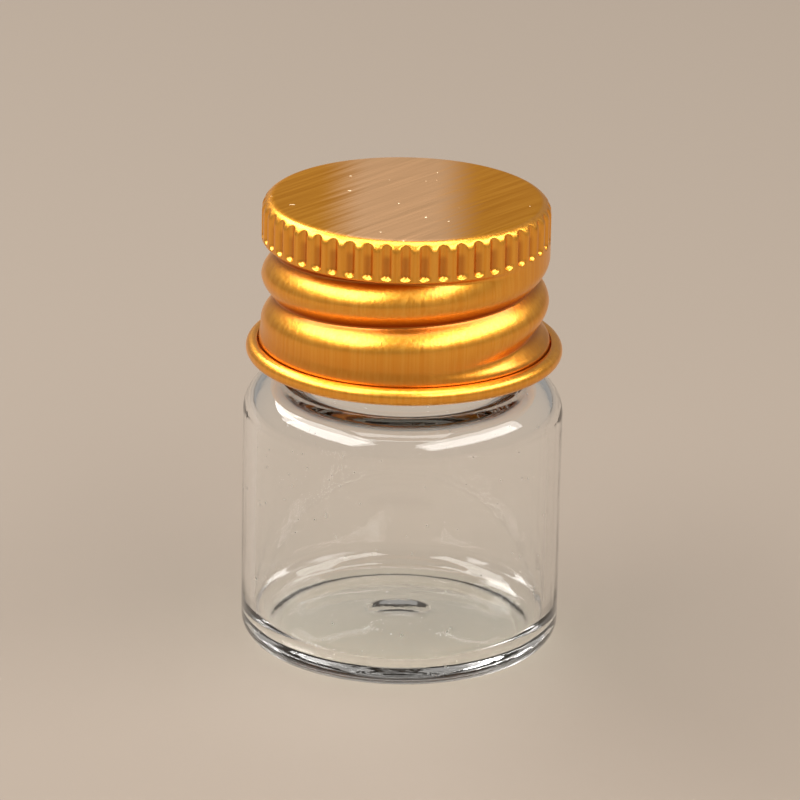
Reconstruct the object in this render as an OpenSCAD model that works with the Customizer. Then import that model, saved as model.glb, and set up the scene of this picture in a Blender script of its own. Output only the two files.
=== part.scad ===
// Screw-cap sample vial: a tube-formed glass vial, a rolled aluminium cap and its foam liner.
// Millimetres, +Z up. The origin is the centre of the base, on the surface that the vial stands on.

/* [Glass body] */
// Outside diameter of the glass body
body_od = 22; // [20:0.5:30]
// Height of the glass, from the surface it stands on to the rim of the mouth
glass_h = 30; // [24:0.5:60]
// Thickness of the glass wall, from the body up over the shoulder
wall = 0.9; // [0.6:0.1:1.3]
// Thickness of the floor around its edge
floor_t = 1; // [0.9:0.1:2]
// Rise of the floor from its edge to its middle
floor_rise = 0.5; // [0.2:0.05:0.8]
// Rounding of the outside corner at the base
base_round = 1.6; // [1:0.1:2.5]
// Rounding of the inside corner at the floor
floor_round = 2; // [1:0.1:2.5]
// Rounding of the shoulder, on the outside
shoulder_round = 2.5; // [1.5:0.1:3.5]
// Diameter of the pushed-up dish under the base
dish_d = 14.8; // [10:0.2:16]
// Depth of the dish
dish_depth = 0.5; // [0.3:0.1:0.8]
// Diameter of the small dimple in the middle of the floor
dimple_d = 5.5; // [3:0.1:7]
// Depth of the dimple
dimple_depth = 0.25; // [0.15:0.05:0.6]

/* [Neck] */
// Height of the neck, from the top of the shoulder to the rim
neck_h = 11.1; // [10.6:0.1:13.4]
// Thickness of the glass between the neck's outside and its bore
neck_wall = 1.65; // [1.2:0.05:2.6]
// Rounding of the inside corner where the body meets the bore
bore_round = 1; // [0.6:0.1:1.2]
// Rounding of the rim, inside and outside
rim_round = 0.5; // [0.2:0.1:0.6]

/* [Thread] */
// Diameter over the crest of the thread on the neck
thread_od = 17.9; // [14:0.1:18.5]
// Height of the glass thread, from its root on the neck to its crest
thread_height = 0.9; // [0.7:0.05:1.1]
// Rise of the thread in one turn
pitch = 3.175; // [3:0.025:3.4]
// Width of the glass thread along the neck, at its crest
crest_w = 0.9; // [0.7:0.1:1.1]
// Width of the glass thread along the neck, at its root
root_w = 1.7; // [1.4:0.1:2]
// Length of the glass thread, in degrees of turn
thread_turn = 450; // [360:10:540]
// Height from the cap's groove at the front up to the rim
groove_drop = 4.55; // [4.2:0.05:4.9]

/* [Cap] */
// Thickness of the aluminium sheet
sheet = 0.3; // [0.25:0.05:0.4]
// Depth of the thread groove that is rolled into the skirt
groove_depth = 0.95; // [0.8:0.05:1.1]
// Rounding of the edge of the top
top_round = 0.9; // [0.6:0.1:1.2]
// Height of the fluted grip, from the top of the cap to the foot of the flutes
grip_h = 2.75; // [2.2:0.05:3.2]
// Distance between neighbouring flutes around the grip, which sets how many there are
flute_space = 1.29; // [1.25:0.01:1.7]
// Radius of one flute
flute_r = 0.42; // [0.36:0.02:0.5]
// Depth of one flute
flute_depth = 0.3; // [0.15:0.05:0.35]
// How far the skirt widens just above the curl
skirt_flare = 0.12; // [0.05:0.01:0.2]
// Outside radius of the curled bead at the foot of the cap
curl_r = 0.59; // [0.5:0.01:0.7]

/* [Liner] */
// Thickness of the foam disc that seals the rim
liner_t = 1.43; // [1:0.01:2.4]

/* [Fits] */
// Radial play between the crest of the thread and the widest part of the skirt
crest_play = 0.6; // [0.4:0.05:0.8]
// Clearance between the tight flanks of the two threads
flank_gap = 0.13; // [0.1:0.01:0.2]
// Radial clearance around the liner, inside the flutes
liner_gap = 0.15; // [0.1:0.05:0.3]
// Clearance on each flat face of the liner
face_gap = 0.01; // [0.01:0.01:0.03]
// Height from the shoulder up to the foot of the cap
skirt_gap = 1.55; // [1:0.05:2.5]
// Clearance between the raw edge of the curl and the skirt
curl_gap = 0.1; // [0.05:0.01:0.15]

/* [Hidden] */
$fn = 96;

// glass
body_r = body_od / 2;
crest_r = thread_od / 2;
neck_r = crest_r - thread_height;
bore_r = neck_r - neck_wall;
shoulder_top = glass_h - neck_h;
shoulder_r = min(shoulder_round, 0.85 * (body_r - neck_r));
neck_fillet = body_r - neck_r - shoulder_r;
cavity_r = body_r - wall;
cavity_top = shoulder_top - wall;
cavity_shoulder_r = max(shoulder_r - wall, wall / 2);
floor_flat_r = cavity_r - floor_round;

// cap, from the rim upwards and then down to its foot
liner_z = glass_h + face_gap;
cap_top = liner_z + liner_t + face_gap + sheet;
cap_r = crest_r + crest_play + sheet;
cap_foot = shoulder_top + skirt_gap;
flute_count = round(2 * PI * cap_r / flute_space);
flute_axis_r = cap_r + flute_r - flute_depth;
flute_rise = sqrt(flute_r * flute_r - (flute_axis_r - cap_r) * (flute_axis_r - cap_r));
flute_foot = cap_top - grip_h;
liner_r = cap_r - flute_depth - sheet - liner_gap;
liner_round = max(0.05, liner_r - (cap_r - top_round));
skirt_r = cap_r + skirt_flare;
curl_axis_r = skirt_r + curl_r - sheet;
curl_axis_z = cap_foot + curl_r;
curl_stop = acos((skirt_r + curl_gap - curl_axis_r) / curl_r);

// threaded part of the skirt, between the grip and the curl
skirt_top = flute_foot - 0.05;
skirt_foot = curl_axis_z + curl_r + 0.1;
skirt_fade_foot = 0.6;
skirt_fade_top = 0.4;
flare_h = 1;
sides = 48;
rows = ceil((skirt_top - skirt_foot) / 0.27);

// The groove is a right-hand helix. At the front, -Y, it lies groove_drop under the rim.
front_angle = -90;
groove_front_z = glass_h - groove_drop;
groove_fade_top = skirt_top - 0.5;
groove_fade_foot = skirt_foot + 0.6;
groove_fade_h = 0.75;
valley_round = 0.12;

// The tight flank of the glass thread rests over the groove, where the skirt clears its crest.
crest_share = sqrt((crest_play - flank_gap) / groove_depth);
thread_lift = pitch / 2 * (1 - crest_share) + crest_w / 2;
thread_start = -270;
thread_step = 6;
thread_ramp = 45;
thread_sunk = 0.3;

function smooth(low, high, v) =
    let (t = min(1, max(0, (v - low) / (high - low)))) t * t * (3 - 2 * t);

function groove_z(angle) = groove_front_z + pitch * (angle - front_angle) / 360;

// the angle, in whole turns more or less, whose groove lies nearest to height z
function nearest_turn(angle, z) = angle + 360 * round((z - groove_z(angle)) / pitch);

// how deep the groove is rolled there: it fades out at both of its ends
function groove_fade(angle) =
    smooth(groove_fade_foot, groove_fade_foot + groove_fade_h, groove_z(angle))
    * (1 - smooth(groove_fade_top, groove_fade_top + groove_fade_h, groove_z(angle)));

function groove_at(angle, z) =
    let (turn = nearest_turn(angle, z))
    let (away = sqrt(pow(z - groove_z(turn), 2) + pow(valley_round, 2)) - valley_round)
    groove_depth * groove_fade(turn) * pow(max(0, 1 - 2 * away / pitch), 2);

function skirt_at(angle, z) =
    cap_r
    + skirt_flare * (1 - smooth(skirt_foot, skirt_foot + flare_h, z))
    - groove_at(angle, z)
        * smooth(skirt_foot, skirt_foot + skirt_fade_foot, z)
        * (1 - smooth(skirt_top - skirt_fade_top, skirt_top, z));

function ring_point(r, angle, z) = [r * cos(angle), r * sin(angle), z];

// side faces of a grid of points, rings long and wide points around, closed around each ring
function grid_faces(rings, wide, closed) = [
    for (i = [0 : rings - (closed ? 1 : 2)])
        for (j = [0 : wide - 1])
            for (half = [0, 1])
                let (i2 = (i + 1) % rings, j2 = (j + 1) % wide)
                half == 0
                    ? [i * wide + j, i2 * wide + j2, i2 * wide + j]
                    : [i * wide + j, i * wide + j2, i2 * wide + j2]
];

// half section of a round column from z0 to z1, with rounded lower and upper edges
module column_2d(r, z0, z1, low, high) {
    translate([0, z0 + low]) square([r, z1 - high - z0 - low]);
    translate([0, z1 - high]) square([r - high, high]);
    translate([r - high, z1 - high]) circle(high);
    if (low > 0) {
        translate([0, z0]) square([r - low, low]);
        translate([r - low, z0 + low]) circle(low);
    }
}

// square corner with a hollow round cut from its far side, which fills or opens a corner
module cove_2d(r) {
    difference() {
        square(r);
        translate([r, r]) circle(r);
    }
}

// half section of a spherical cap, r wide and h high, standing on z = 0
module dome_2d(r, h) {
    ball = (r * r + h * h) / (2 * h);
    intersection() {
        translate([0, h - ball]) circle(ball);
        square([r + 1, h + 1]);
    }
}

module glass_outside_2d() {
    column_2d(body_r, 0, shoulder_top, base_round, shoulder_r);
    column_2d(neck_r, shoulder_top - wall, glass_h, 0, rim_round);
    translate([neck_r, shoulder_top]) cove_2d(neck_fillet);
}

module glass_inside_2d() {
    difference() {
        column_2d(cavity_r, floor_t, cavity_top, floor_round, cavity_shoulder_r);
        translate([0, floor_t]) dome_2d(floor_flat_r, floor_rise);
    }
    translate([0, floor_t + floor_rise]) mirror([0, 1]) dome_2d(dimple_d / 2, dimple_depth);
    translate([0, cavity_top - wall]) square([bore_r, neck_h + 3 * wall]);
    translate([bore_r, cavity_top]) cove_2d(bore_round);
    translate([bore_r, glass_h]) mirror([0, 1]) cove_2d(rim_round);
}

module vial_body() {
    color([0.85, 0.93, 0.92, 0.4]) {
        rotate_extrude() difference() {
            glass_outside_2d();
            glass_inside_2d();
            dome_2d(dish_d / 2, dish_depth);
        }
        neck_thread();
    }
}

// ridge around the neck, which rises out of the glass and sinks back into it
module neck_thread() {
    rings = thread_turn / thread_step + 1;
    points = [
        for (i = [0 : rings - 1])
            let (turn = thread_start + front_angle + i * thread_step)
            let (z = groove_z(turn) + thread_lift)
            let (ends = min(i, rings - 1 - i) * thread_step)
            let (height = smooth(0, thread_ramp, ends))
            let (r = neck_r - thread_sunk / 2 + (thread_height + thread_sunk / 2) * height)
            for (corner = [[0, -root_w], [1, -crest_w], [1, crest_w], [0, root_w]])
                ring_point(corner[0] == 1 ? r : neck_r - thread_sunk, turn, z + corner[1] / 2)
    ];
    caps = [[3, 2, 1, 0], [for (j = [0 : 3]) (rings - 1) * 4 + j]];
    polyhedron(points, concat(grid_faces(rings, 4, false), caps), convexity = 6);
}

// one flute's cutter or its raised inner side, from its round foot up through the top
module flutes(r) {
    for (i = [0 : flute_count - 1])
        rotate(i * 360 / flute_count) translate([flute_axis_r, 0, flute_foot + flute_rise]) {
            sphere(r);
            cylinder(r = r, h = grip_h + 1);
        }
}

module cap_grip() {
    difference() {
        rotate_extrude() column_2d(cap_r, skirt_top, cap_top, 0, top_round);
        flutes(flute_r);
        difference() {
            rotate_extrude()
                column_2d(cap_r - sheet, skirt_top - 1, cap_top - sheet, 0, top_round - sheet);
            flutes(flute_r + sheet);
        }
    }
}

// rolled skirt: its wall follows the groove inside and outside
module cap_thread() {
    even_out = 1 / sqrt(cos(180 / sides));
    points = [
        for (i = [0 : sides - 1], side = [0, 1], k = [0 : rows])
            let (angle = i * 360 / sides)
            let (z = skirt_foot + (skirt_top - skirt_foot) * (side == 0 ? k : rows - k) / rows)
            ring_point((skirt_at(angle, z) - side * sheet) * even_out, angle, z)
    ];
    polyhedron(points, grid_faces(sides, 2 * (rows + 1), true), convexity = 10);
}

// foot of the cap: the sheet runs down and curls outwards and up again, short of the skirt
module cap_curl() {
    rotate_extrude() {
        translate([curl_axis_r, curl_axis_z]) difference() {
            circle(curl_r);
            circle(curl_r - sheet);
            polygon([
                [0, 0],
                [2 * curl_r * cos(curl_stop), 2 * curl_r * sin(curl_stop)],
                [-2 * curl_r, 2 * curl_r],
                [-2 * curl_r, 0]
            ]);
        }
        translate([skirt_r - sheet, curl_axis_z]) square([sheet, skirt_foot - curl_axis_z]);
    }
}

module cap_shell() {
    color([0.93, 0.66, 0.24]) {
        cap_grip();
        cap_thread();
        cap_curl();
    }
}

module cap_liner() {
    color([0.94, 0.94, 0.92])
        rotate_extrude() column_2d(liner_r, liner_z, liner_z + liner_t, 0, liner_round);
}

vial_body();
cap_shell();
cap_liner();
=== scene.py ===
import math

import bmesh
import bpy
from mathutils import Matrix, Vector


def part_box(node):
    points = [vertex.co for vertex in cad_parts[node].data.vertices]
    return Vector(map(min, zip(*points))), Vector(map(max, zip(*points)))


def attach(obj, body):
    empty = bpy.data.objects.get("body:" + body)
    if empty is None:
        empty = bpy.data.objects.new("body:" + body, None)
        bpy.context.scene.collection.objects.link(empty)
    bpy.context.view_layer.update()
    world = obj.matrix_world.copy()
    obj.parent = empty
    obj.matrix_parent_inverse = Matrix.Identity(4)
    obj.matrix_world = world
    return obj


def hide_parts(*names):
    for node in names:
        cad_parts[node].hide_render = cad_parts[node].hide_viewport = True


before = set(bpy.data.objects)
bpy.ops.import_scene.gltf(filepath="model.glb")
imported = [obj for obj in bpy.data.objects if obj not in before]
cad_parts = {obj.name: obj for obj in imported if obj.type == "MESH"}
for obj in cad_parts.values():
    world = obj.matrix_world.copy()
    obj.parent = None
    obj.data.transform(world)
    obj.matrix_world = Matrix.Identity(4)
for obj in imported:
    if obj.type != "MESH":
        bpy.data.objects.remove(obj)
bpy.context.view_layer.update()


# ---------------------------------------------------------------- camera
# A long lens a little above the cap, looking down on the front of the vial.
look_at = Vector((0, 0, 0.014))
camera_distance = 0.400
looking_down = math.radians(20.3)
lens_mm = 261
tilt_up = math.radians(0.42)
turn_right = math.radians(-0.03)
camera_roll = math.radians(1.1)

ahead = Vector((0, math.cos(looking_down), -math.sin(looking_down)))
above = Vector((0, math.sin(looking_down), math.cos(looking_down)))
aim = ahead + above * math.tan(tilt_up) + Vector((math.tan(turn_right), 0, 0))

camera = bpy.data.objects.new("camera", bpy.data.cameras.new("camera"))
camera.data.lens = lens_mm
camera.data.sensor_width = 36
camera.data.clip_start = 0.02
camera.matrix_world = Matrix.LocRotScale(
    look_at - ahead * camera_distance,
    aim.to_track_quat("-Z", "Y") @ Matrix.Rotation(camera_roll, 3, "Z").to_quaternion(),
    None,
)
bpy.context.scene.collection.objects.link(camera)
bpy.context.scene.camera = camera


# ---------------------------------------------------------------- floor and lights
# A plain pale floor. Two wide soft boxes stand high on the left and right, with a gap between
# them at the front. A third hangs overhead, a fourth stands behind on the left, and an even
# light fills the room.
floor_half, floor_drop = 1.5, 0.00003
floor_colour = (0.20, 0.165, 0.132, 1)
room_colour = (1.0, 0.97, 0.93, 1)
room_strength = 0.30


def place(shape, name):
    """Makes an object of a finished bmesh and puts it in the scene."""
    mesh = bpy.data.meshes.new(name)
    shape.to_mesh(mesh)
    shape.free()
    made = bpy.data.objects.new(name, mesh)
    bpy.context.scene.collection.objects.link(made)
    return made


class Link:
    """One output of a shader node. Sums on it are written as sums, and add Math nodes."""

    def __init__(self, finish, socket):
        self.finish, self.socket = finish, socket

    def __add__(self, other):
        return self.finish.math("ADD", self, other)

    def __sub__(self, other):
        return self.finish.math("SUBTRACT", self, other)

    def __rsub__(self, other):
        return self.finish.math("SUBTRACT", other, self)

    def __mul__(self, other):
        return self.finish.math("MULTIPLY", self, other)

    __radd__, __rmul__ = __add__, __mul__


class Finish:
    """A material whose nodes are added one by one."""

    def __init__(self, name):
        self.material = bpy.data.materials.new(name)
        self.material.use_nodes = True
        self.tree = self.material.node_tree
        self.tree.nodes.clear()

    def node(self, kind, settings, sockets, out=0):
        """Adds a node: its settings first, then values or links for its sockets."""
        made = self.tree.nodes.new("ShaderNode" + kind)
        for name, value in settings.items():
            setattr(made, name, value)
        for key, value in sockets.items():
            if isinstance(value, Link):
                self.tree.links.new(value.socket, made.inputs[key])
            else:
                made.inputs[key].default_value = value
        return Link(self, made.outputs[out]) if made.outputs else made

    def math(self, operation, first, second):
        return self.node("Math", {"operation": operation}, {0: first, 1: second})

    def noise(self, stretch, detail=2.0, turn=0.0):
        """Noise with stretch repeats a metre along each axis, turned about the piece's axis."""
        point = self.node("TexCoord", {}, {}, "Object")
        turned = self.node("Mapping", {}, {"Vector": point, "Rotation": (0, 0, turn)})
        scaled = self.node("Mapping", {}, {"Vector": turned, "Scale": stretch})
        return self.node("TexNoise", {}, {"Vector": scaled, "Scale": 1.0, "Detail": detail})

    def ramp(self, value, low, high):
        """0 where value is under low, 1 where it is over high."""
        return self.node(
            "MapRange",
            {"interpolation_type": "SMOOTHSTEP"},
            {"Value": value, "From Min": low, "From Max": high},
        )

    def blend(self, share, first, second):
        """A colour between first and second."""
        return self.node("Mix", {"data_type": "RGBA"}, {0: share, 6: first, 7: second}, 2)

    def done(self, shader, made):
        self.node("OutputMaterial", {}, {"Surface": shader})
        made.data.materials.append(self.material)


floor_shape = bmesh.new()
bmesh.ops.create_grid(
    floor_shape,
    x_segments=1,
    y_segments=1,
    size=floor_half,
    matrix=Matrix.Translation((0, 0, -floor_drop)),
)
floor = place(floor_shape, "floor")

floor_finish = Finish("pale_floor")
floor_finish.done(
    floor_finish.node(
        "BsdfPrincipled", {}, {"Base Color": floor_colour, "Roughness": 0.7}
    ),
    floor,
)


def soft_box(name, azimuth, elevation, reach, width, height, power):
    """A wide lamp that faces the vial. Azimuth 0 is the front and 90 the right."""
    a, e = math.radians(azimuth), math.radians(elevation)
    way = Vector((math.sin(a) * math.cos(e), -math.cos(a) * math.cos(e), math.sin(e)))
    lamp = bpy.data.lights.new(name, "AREA")
    lamp.shape = "RECTANGLE"
    lamp.size, lamp.size_y = width, height
    lamp.energy = power
    lamp.color = (1.0, 0.97, 0.94)
    box = bpy.data.objects.new(name, lamp)
    box.matrix_world = Matrix.LocRotScale(
        look_at + way * reach, way.to_track_quat("Z", "Y"), None
    )
    bpy.context.scene.collection.objects.link(box)


soft_box("soft_box_left", -73, 46, 0.6, 0.72, 0.29, 4.4)
soft_box("soft_box_right", 63, 44, 0.6, 0.90, 0.27, 4.5)
soft_box("soft_box_above", 0, 86, 0.6, 0.50, 0.40, 3.0)
soft_box("soft_box_side", -134, 42, 0.6, 0.28, 0.20, 1.6)

room = bpy.data.worlds.new("room")
room.use_nodes = True
room.node_tree.nodes["Background"].inputs["Color"].default_value = room_colour
room.node_tree.nodes["Background"].inputs["Strength"].default_value = room_strength
bpy.context.scene.world = room
bpy.context.scene.view_settings.view_transform = "Standard"
bpy.context.scene.cycles.max_bounces = 32
bpy.context.scene.cycles.transmission_bounces = 32
bpy.context.scene.cycles.glossy_bounces = 8


# ---------------------------------------------------------------- glass vial
# Drawn glass tube, 22 mm across with a 0.9 mm wall, its shoulder and neck formed hot in one
# piece. The foot is pushed up, and one and a quarter turns of thread run around the neck.
to_mm = 1000
vial_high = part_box("vial_body")[1]
body_r, rim_z = round(vial_high[0] * to_mm, 2), round(vial_high[2] * to_mm, 2)
wall, body_round, shoulder_top, shoulder_r = 0.9, 1.6, 18.9, 2.5
neck_r, rim_round, bore_r, bore_round = 8.05, 0.5, 6.4, 1.0
neck_fillet = body_r - shoulder_r - neck_r
cavity_r, cavity_top, cavity_round = body_r - wall, shoulder_top - wall, shoulder_r - wall
floor_z, floor_round, floor_rise = 1.0, 2.0, 0.5
dish_r, dish_h, dimple_r, dimple_h = 7.4, 0.5, 2.75, 0.25
pitch, thread_height, crest_w, root_w = 3.175, 0.9, 0.9, 1.7
thread_start, thread_end, thread_ramp = -360, 90, 45
groove_drop, groove_depth, crest_play, flank_gap = 4.55, 0.95, 0.6, 0.13
groove_front_z = rim_z - groove_drop
crest_share = math.sqrt((crest_play - flank_gap) / groove_depth)
thread_lift = pitch / 2 * (1 - crest_share) + crest_w / 2


def smooth(low, high, value):
    t = min(1, max(0, (value - low) / (high - low)))
    return t * t * (3 - 2 * t)


def straight(shape, pen, x, z, pieces=1):
    """Draws a half section on from its last point, straight to (x, z)."""
    start, end = pen.co.copy(), Vector((x, 0, z))
    for i in range(pieces):
        pen = bmesh.ops.extrude_vert_indiv(shape, verts=[pen])["verts"][0]
        pen.co = start.lerp(end, (i + 1) / pieces)
    return pen


def arc(shape, pen, x, z, turn, steps):
    """Draws it on around the centre (x, z), anticlockwise where turn is positive."""
    swept = bmesh.ops.spin(
        shape, geom=[pen], cent=(x, 0, z), axis=(0, -1, 0), angle=math.radians(turn), steps=steps
    )
    return swept["geom_last"][0]


def spin_round(shape, columns):
    """Turns the half section into a round shape, with its seam and its poles closed."""
    bmesh.ops.spin(
        shape,
        geom=shape.verts[:] + shape.edges[:],
        axis=(0, 0, 1),
        angle=math.tau,
        steps=columns,
        use_merge=True,
    )
    bmesh.ops.remove_doubles(shape, verts=shape.verts, dist=0.0005)
    bmesh.ops.recalc_face_normals(shape, faces=shape.faces)
    if shape.calc_volume(signed=True) < 0:
        bmesh.ops.reverse_faces(shape, faces=shape.faces)


def to_metres(shape):
    """Scales a finished shape from millimetres and shades it smooth."""
    bmesh.ops.scale(shape, vec=(0.001, 0.001, 0.001), verts=shape.verts)
    for face in shape.faces:
        face.smooth = True


def ball_r(r, h):
    """Radius of the ball that gives a dome r wide and h high."""
    return (r * r + h * h) / (2 * h)


def helix_z(angle):
    """Height of the cap's thread groove at an angle, in degrees, which grows by whole turns."""
    return groove_front_z + pitch * (angle + 90) / 360


glass = bmesh.new()
pen = glass.verts.new((0, 0, dish_h))
dish_ball = ball_r(dish_r, dish_h)
pen = arc(glass, pen, 0, dish_h - dish_ball, -math.degrees(math.asin(dish_r / dish_ball)), 12)
pen = straight(glass, pen, body_r - body_round, 0, 3)
pen = arc(glass, pen, body_r - body_round, body_round, 90, 14)
pen = straight(glass, pen, body_r, shoulder_top - shoulder_r, 12)
pen = arc(glass, pen, body_r - shoulder_r, shoulder_top - shoulder_r, 90, 18)
pen = arc(glass, pen, neck_r + neck_fillet, shoulder_top + neck_fillet, -90, 6)
pen = straight(glass, pen, neck_r, rim_z - rim_round, 72)
pen = arc(glass, pen, neck_r - rim_round, rim_z - rim_round, 90, 8)
pen = straight(glass, pen, bore_r + rim_round, rim_z)
pen = arc(glass, pen, bore_r + rim_round, rim_z - rim_round, 90, 8)
pen = straight(glass, pen, bore_r, cavity_top + bore_round, 12)
pen = arc(glass, pen, bore_r + bore_round, cavity_top + bore_round, 90, 10)
pen = straight(glass, pen, cavity_r - cavity_round, cavity_top, 2)
pen = arc(glass, pen, cavity_r - cavity_round, cavity_top - cavity_round, -90, 14)
pen = straight(glass, pen, cavity_r, floor_z + floor_round, 12)
pen = arc(glass, pen, cavity_r - floor_round, floor_z + floor_round, -90, 16)
floor_ball, dimple_ball = ball_r(cavity_r - floor_round, floor_rise), ball_r(dimple_r, dimple_h)
floor_axis_z = floor_z + floor_rise - floor_ball
dimple_edge = math.sqrt(2 * dimple_h / (1 / floor_ball + 1 / dimple_ball))
floor_turn = math.asin((cavity_r - floor_round) / floor_ball) - math.asin(dimple_edge / floor_ball)
pen = arc(glass, pen, 0, floor_axis_z, math.degrees(floor_turn), 12)
dimple_axis_z = pen.co.z + math.sqrt(dimple_ball**2 - dimple_edge**2)
arc(glass, pen, 0, dimple_axis_z, -math.degrees(math.asin(dimple_edge / dimple_ball)), 8)
for point in glass.verts:
    if point.co.x < 0.0005:
        point.co.x = 0
spin_round(glass, 192)

for point in glass.verts:
    r, z = math.hypot(point.co.x, point.co.y), point.co.z
    if abs(r - neck_r) < 0.01 and shoulder_top + neck_fillet < z < rim_z - rim_round:
        angle = math.degrees(math.atan2(point.co.y, point.co.x))
        away, share = pitch, 0
        for turns in (-1, 0):
            turn = angle + 360 * turns
            to_end = min(turn - thread_start, thread_end - turn)
            if to_end > 0 and abs(z - helix_z(turn) - thread_lift) < away:
                away = abs(z - helix_z(turn) - thread_lift)
                share = smooth(0, thread_ramp, to_end)
        raised = thread_height * share * (1 - smooth(crest_w / 2, root_w / 2, away))
        point.co.x *= (neck_r + raised) / r
        point.co.y *= (neck_r + raised) / r
to_metres(glass)
vial = place(glass, "glass_vial")

glass_finish = Finish("clear_glass")
drawn_lines = glass_finish.noise((900, 900, 18), 3.0)
waves = glass_finish.noise((120, 120, 160), 1.0)
seeds = glass_finish.ramp(glass_finish.noise((2900, 2900, 2900), 0.0), 0.86, 0.88)
wiped = glass_finish.ramp(glass_finish.noise((260, 260, 700), 4.0), 0.60, 0.80)
glass_relief = glass_finish.node(
    "Bump",
    {},
    {
        "Strength": 0.35,
        "Distance": 0.00006,
        "Height": drawn_lines * 0.35 + waves + seeds * 0.5,
    },
)
clear = glass_finish.node(
    "BsdfPrincipled",
    {},
    {
        "Base Color": (0.995, 1.0, 0.995, 1),
        "Roughness": seeds * 0.4 + wiped * 0.012,
        "IOR": 1.5,
        "Transmission Weight": 1.0,
        "Normal": glass_relief,
    },
)
lamp_ray = glass_finish.node("LightPath", {}, {}, "Is Shadow Ray")
passed = glass_finish.node("BsdfTransparent", {}, {"Color": (0.88, 0.90, 0.89, 1)})
glass_finish.done(glass_finish.node("MixShader", {}, {0: lamp_ray, 1: clear, 2: passed}), vial)

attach(vial, "vial")
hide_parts("vial_body")


# ---------------------------------------------------------------- gold cap
# One cup of 0.3 mm aluminium sheet, gold anodised. Its top is brushed and its grip fluted, the
# thread is rolled into the skirt, and the foot is curled outwards and up to a raw edge.
cap_top = round(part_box("cap_shell")[1][2] * to_mm, 2)
sheet, cap_r, top_round = 0.3, 9.85, 0.9
flute_count, flute_r, flute_depth, flute_foot, land_round = 48, 0.42, 0.3, 29.0, 0.05
skirt_top, skirt_foot, skirt_flare, valley_round = 28.95, 21.73, 0.12, 0.12
skirt_fade_top, skirt_fade_foot, flare_h = 0.4, 0.6, 1
groove_fade_top, groove_fade_foot, groove_fade_h = skirt_top - 0.5, skirt_foot + 0.6, 0.75
curl_axis_r, curl_axis_z, curl_turn = 10.26, 21.04, 288.8
flute_axis_r = cap_r + flute_r - flute_depth
flute_rise = math.sqrt(flute_r**2 - (flute_axis_r - cap_r) ** 2)
skirt_r = cap_r + skirt_flare
grip_foot, rolled_top = skirt_top + 0.03, skirt_top - 0.02
rolled_foot, curl_top = skirt_foot - 0.02, skirt_foot - 0.1
ring_slack = 0.01


def groove_share(angle):
    """How much of its depth the groove has there: it fades in at its foot and out at its top."""
    z = helix_z(angle)
    return smooth(groove_fade_foot, groove_fade_foot + groove_fade_h, z) * (
        1 - smooth(groove_fade_top, groove_fade_top + groove_fade_h, z)
    )


def skirt_at(angle, z):
    """Outside radius of the rolled skirt."""
    turn = angle + 360 * round((z - helix_z(angle)) / pitch)
    away = math.hypot(z - helix_z(turn), valley_round) - valley_round
    groove = groove_depth * groove_share(turn) * max(0, 1 - 2 * away / pitch) ** 2
    level_ends = smooth(skirt_foot, skirt_foot + skirt_fade_foot, z) * (
        1 - smooth(skirt_top - skirt_fade_top, skirt_top, z)
    )
    flare = skirt_flare * (1 - smooth(skirt_foot, skirt_foot + flare_h, z))
    return cap_r + flare - groove * level_ends


def flute_at(angle, z):
    """Radius of the nearest flute's floor at that angle and height, or None beside it."""
    low = max(0, flute_foot + flute_rise - z)
    if low >= flute_r:
        return None
    spacing = math.tau / flute_count
    beside = angle - spacing * round(angle / spacing)
    half_chord = flute_r**2 - low**2 - (flute_axis_r * math.sin(beside)) ** 2
    return None if half_chord < 0 else flute_axis_r * math.cos(beside) - math.sqrt(half_chord)


# the grip: brushed top, rounded edge and fluted band
cap = bmesh.new()
pen = cap.verts.new((0, 0, cap_top))
pen = straight(cap, pen, cap_r - top_round, cap_top, 5)
pen = arc(cap, pen, cap_r - top_round, cap_top - top_round, -90, 18)
pen = straight(cap, pen, cap_r, flute_foot + 0.6, 6)
pen = straight(cap, pen, cap_r, grip_foot, 12)
spin_round(cap, 480)
for point in cap.verts:
    r, z = math.hypot(point.co.x, point.co.y), point.co.z
    if r > cap_r - flute_depth - 0.1:
        floor_r = flute_at(math.atan2(point.co.y, point.co.x), z)
        if floor_r is not None and floor_r < r + land_round:
            shared = max(0, land_round - abs(r - floor_r)) / land_round
            new_r = min(r, floor_r) - shared**2 * land_round / 4
            point.co.x *= new_r / r
            point.co.y *= new_r / r

# the rolled skirt: one pitch of it is spun upwards along the thread, then cut level
half_profile = (0, 0.03, 0.065, 0.105, 0.155, 0.22, 0.3, 0.4, 0.52, 0.66, 0.82, 1.0, 1.19, 1.39)
turns, columns = 4, 192
rolled = bmesh.new()
first_z = rolled_foot - pitch / 2 - 0.05
start_angle = 360 * (first_z - groove_front_z) / pitch - 90
pen = rolled.verts.new((cap_r, 0, first_z - pitch / 2))
for offset in [-x for x in reversed(half_profile)] + list(half_profile[1:]) + [pitch / 2]:
    pen = straight(rolled, pen, cap_r, first_z + offset)
bmesh.ops.rotate(
    rolled, verts=rolled.verts, matrix=Matrix.Rotation(math.radians(start_angle), 3, "Z")
)
bmesh.ops.spin(
    rolled,
    geom=rolled.verts[:] + rolled.edges[:],
    axis=(0, 0, 1),
    dvec=(0, 0, pitch / columns),
    angle=math.tau * turns,
    steps=columns * turns,
)
bmesh.ops.remove_doubles(rolled, verts=rolled.verts, dist=0.004)
for cut_z, above_it in ((rolled_top, True), (rolled_foot, False)):
    bmesh.ops.bisect_plane(
        rolled,
        geom=rolled.verts[:] + rolled.edges[:] + rolled.faces[:],
        dist=0.001,
        plane_co=(0, 0, cut_z),
        plane_no=(0, 0, 1),
        clear_outer=above_it,
        clear_inner=not above_it,
    )
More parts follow.
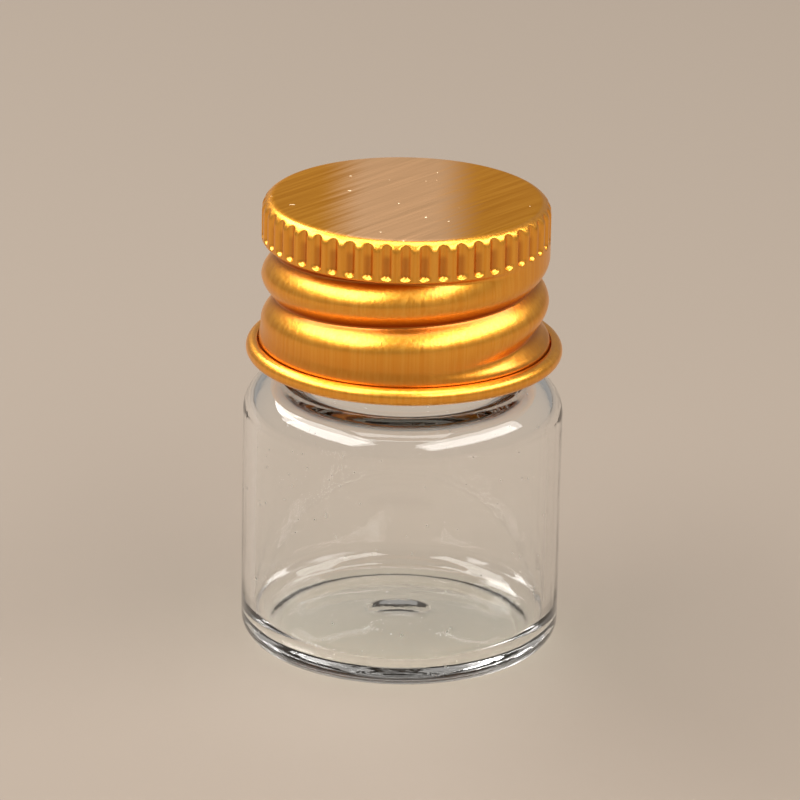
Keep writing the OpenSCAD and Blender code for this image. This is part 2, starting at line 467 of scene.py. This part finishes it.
for point in rolled.verts:
    r, z = math.hypot(point.co.x, point.co.y), point.co.z
    new_r = skirt_at(math.degrees(math.atan2(point.co.y, point.co.x)), z)
    point.co.x *= new_r / r
    point.co.y *= new_r / r

# the curl at the foot
curl = bmesh.new()
pen = curl.verts.new((skirt_r, 0, curl_top))
pen = straight(curl, pen, skirt_r, curl_axis_z, 3)
arc(curl, pen, curl_axis_r, curl_axis_z, curl_turn, 30)
spin_round(curl, 192)

for part in (rolled, curl):
    joined = bpy.data.meshes.new("joined")
    part.to_mesh(joined)
    part.free()
    cap.from_mesh(joined)
    bpy.data.meshes.remove(joined)


def open_ring(shape, low, high):
    """The open edges of a shape whose ends lie between two heights."""
    return [
        e
        for e in shape.edges
        if e.is_boundary and all(low < v.co.z < high for v in e.verts)
    ]


bmesh.ops.bridge_loops(cap, edges=open_ring(cap, rolled_top - ring_slack, grip_foot + ring_slack))
bmesh.ops.bridge_loops(cap, edges=open_ring(cap, curl_top - ring_slack, rolled_foot + ring_slack))
bmesh.ops.recalc_face_normals(cap, faces=cap.faces)
cap.normal_update()

# the sheet's thickness: an inner face set in from the outer one, and the raw edge of the curl
outer_points = cap.verts[:]
inset_way = {}
for point in outer_points:
    level = Vector((point.co.x, point.co.y, 0)).normalized()
    on_skirt = rolled_foot < point.co.z < rolled_top and point.co.xy.length < skirt_r + ring_slack
    inset_way[point.index] = level if on_skirt else point.normal.copy()
copied = bmesh.ops.duplicate(cap, geom=cap.verts[:] + cap.edges[:] + cap.faces[:])
inner_faces = [x for x in copied["geom"] if isinstance(x, bmesh.types.BMFace)]
for point in outer_points:
    copied["vert_map"][point].co -= inset_way[point.index] * sheet
bmesh.ops.reverse_faces(cap, faces=inner_faces)
raw_edges = [e for e in cap.edges if e.is_boundary]
bmesh.ops.bridge_loops(cap, edges=raw_edges)
to_metres(cap)
for edge in raw_edges:
    edge.smooth = False
cap_shell = place(cap, "gold_cap")

gold_finish = Finish("gold_aluminium")
point = gold_finish.node("TexCoord", {}, {}, "Object")
across = gold_finish.node("SeparateXYZ", {}, {0: point}, "X") * to_mm
up = gold_finish.node("SeparateXYZ", {}, {0: point}, "Z") * to_mm
level = gold_finish.node("VectorMath", {"operation": "MULTIPLY"}, {0: point, 1: (1, 1, 0)})
from_axis = gold_finish.node("VectorMath", {"operation": "LENGTH"}, {0: level}, "Value") * to_mm

# painted shade: the gold is darkened in the flutes, in the thread groove and in the corner over
# the curl
on_top = gold_finish.ramp(up, cap_top - 0.09, cap_top - 0.01)
under_edge = 1 - gold_finish.ramp(up, cap_top - top_round - 0.45, cap_top - top_round + 0.05)
on_grip = gold_finish.ramp(up, flute_foot - 0.2, flute_foot)
in_flute = (1 - gold_finish.ramp(from_axis, cap_r - 0.45, cap_r - 0.05)) * under_edge * on_grip
in_groove = (1 - gold_finish.ramp(from_axis, cap_r - groove_depth, cap_r - 0.35)) * (1 - on_grip)
over_curl = (1 - gold_finish.ramp(up, skirt_foot + 0.07, skirt_foot + 2.47)) * (
    1 - gold_finish.ramp(from_axis, skirt_r + 0.01, skirt_r + 0.07)
)
# painted shade mask: the flutes, the thread groove and, more weakly, the corner over the curl
painted_shade = in_flute + in_groove + over_curl * 0.45

# lines drawn down the side, brush marks over the top, a painted sheen band across it, and dust
drawn_lines = gold_finish.noise((5200, 5200, 24), 4.0)
brushed_lines = gold_finish.noise((4600, 110, 110), 4.0, math.radians(40))
lines = drawn_lines * (1 - on_top) + brushed_lines * on_top
from_middle = gold_finish.math("ABSOLUTE", across + brushed_lines * 3 - 1.1, 0)
# painted sheen: a pale band across the middle of the top, which is also a little rougher there
painted_sheen = (1 - gold_finish.ramp(from_middle, 2.2, 5.6)) * on_top
dust = gold_finish.ramp(gold_finish.noise((2700, 2700, 2700), 0.0), 0.85, 0.87) * on_top
gold_tone = gold_finish.blend(
    gold_finish.ramp(lines, 0.3, 0.7), (0.91, 0.355, 0.022, 1), (0.96, 0.43, 0.046, 1)
)
# painted shade: a dark gold is blended in where that mask lies
painted_shade_tone = gold_finish.blend(painted_shade, gold_tone, (0.54, 0.15, 0.007, 1))
# painted sheen: a pale pinkish gold is blended into that band
painted_sheen_tone = gold_finish.blend(painted_sheen, painted_shade_tone, (0.99, 0.60, 0.33, 1))
marks = lines * (1 - on_top * 0.4) + dust
gold_relief = gold_finish.node(
    "Bump", {}, {"Strength": 1.0, "Distance": 0.00002, "Height": marks}
)
gold_finish.done(
    gold_finish.node(
        "BsdfPrincipled",
        {},
        {
            "Base Color": gold_finish.blend(dust, painted_sheen_tone, (0.9, 0.8, 0.6, 1)),
            "Metallic": 1.0,
            "Roughness": lines * 0.14 + dust * 0.3 + painted_sheen * 0.05 + 0.26,
            "Specular Tint": (1.0, 0.8, 0.5, 1),
            "Coat Weight": 0.6 - on_top * 0.5 + painted_sheen * 0.2,
            "Coat Roughness": 0.22,
            "Normal": gold_relief,
        },
    ),
    cap_shell,
)

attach(cap_shell, "cap")
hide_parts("cap_shell")


# ---------------------------------------------------------------- foam liner
# A disc of white foamed plastic cut from sheet, pushed into the cap's top. The rim of the glass
# has left a faint ring in its lower face.
liner_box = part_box("cap_liner")
liner_z, liner_top = (round(corner[2] * to_mm, 2) for corner in liner_box)
liner_r = round(liner_box[1][0] * to_mm, 2)
liner_round, lower_round, imprint = 0.15, 0.08, 0.03

foam = bmesh.new()
pen = foam.verts.new((0, 0, liner_top))
pen = straight(foam, pen, liner_r - liner_round, liner_top, 6)
pen = arc(foam, pen, liner_r - liner_round, liner_top - liner_round, -90, 6)
pen = straight(foam, pen, liner_r, liner_z + lower_round, 4)
pen = arc(foam, pen, liner_r - lower_round, liner_z + lower_round, -90, 3)
pen = straight(foam, pen, neck_r + 0.1, liner_z, 3)
pen = straight(foam, pen, neck_r - 0.15, liner_z + imprint, 2)
pen = straight(foam, pen, bore_r + 0.15, liner_z + imprint, 3)
pen = straight(foam, pen, bore_r - 0.1, liner_z, 2)
straight(foam, pen, 0, liner_z, 5)
spin_round(foam, 96)
to_metres(foam)
liner = place(foam, "foam_liner")

foam_finish = Finish("liner_foam")
cells = foam_finish.noise((5200, 5200, 5200), 2.0)
foam_finish.done(
    foam_finish.node(
        "BsdfPrincipled",
        {},
        {
            "Base Color": foam_finish.blend(cells, (0.80, 0.80, 0.76, 1), (0.94, 0.94, 0.91, 1)),
            "Roughness": cells * 0.2 + 0.7,
            "Normal": foam_finish.node(
                "Bump", {}, {"Strength": 0.4, "Distance": 0.00004, "Height": cells}
            ),
        },
    ),
    liner,
)

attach(liner, "liner")
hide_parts("cap_liner")
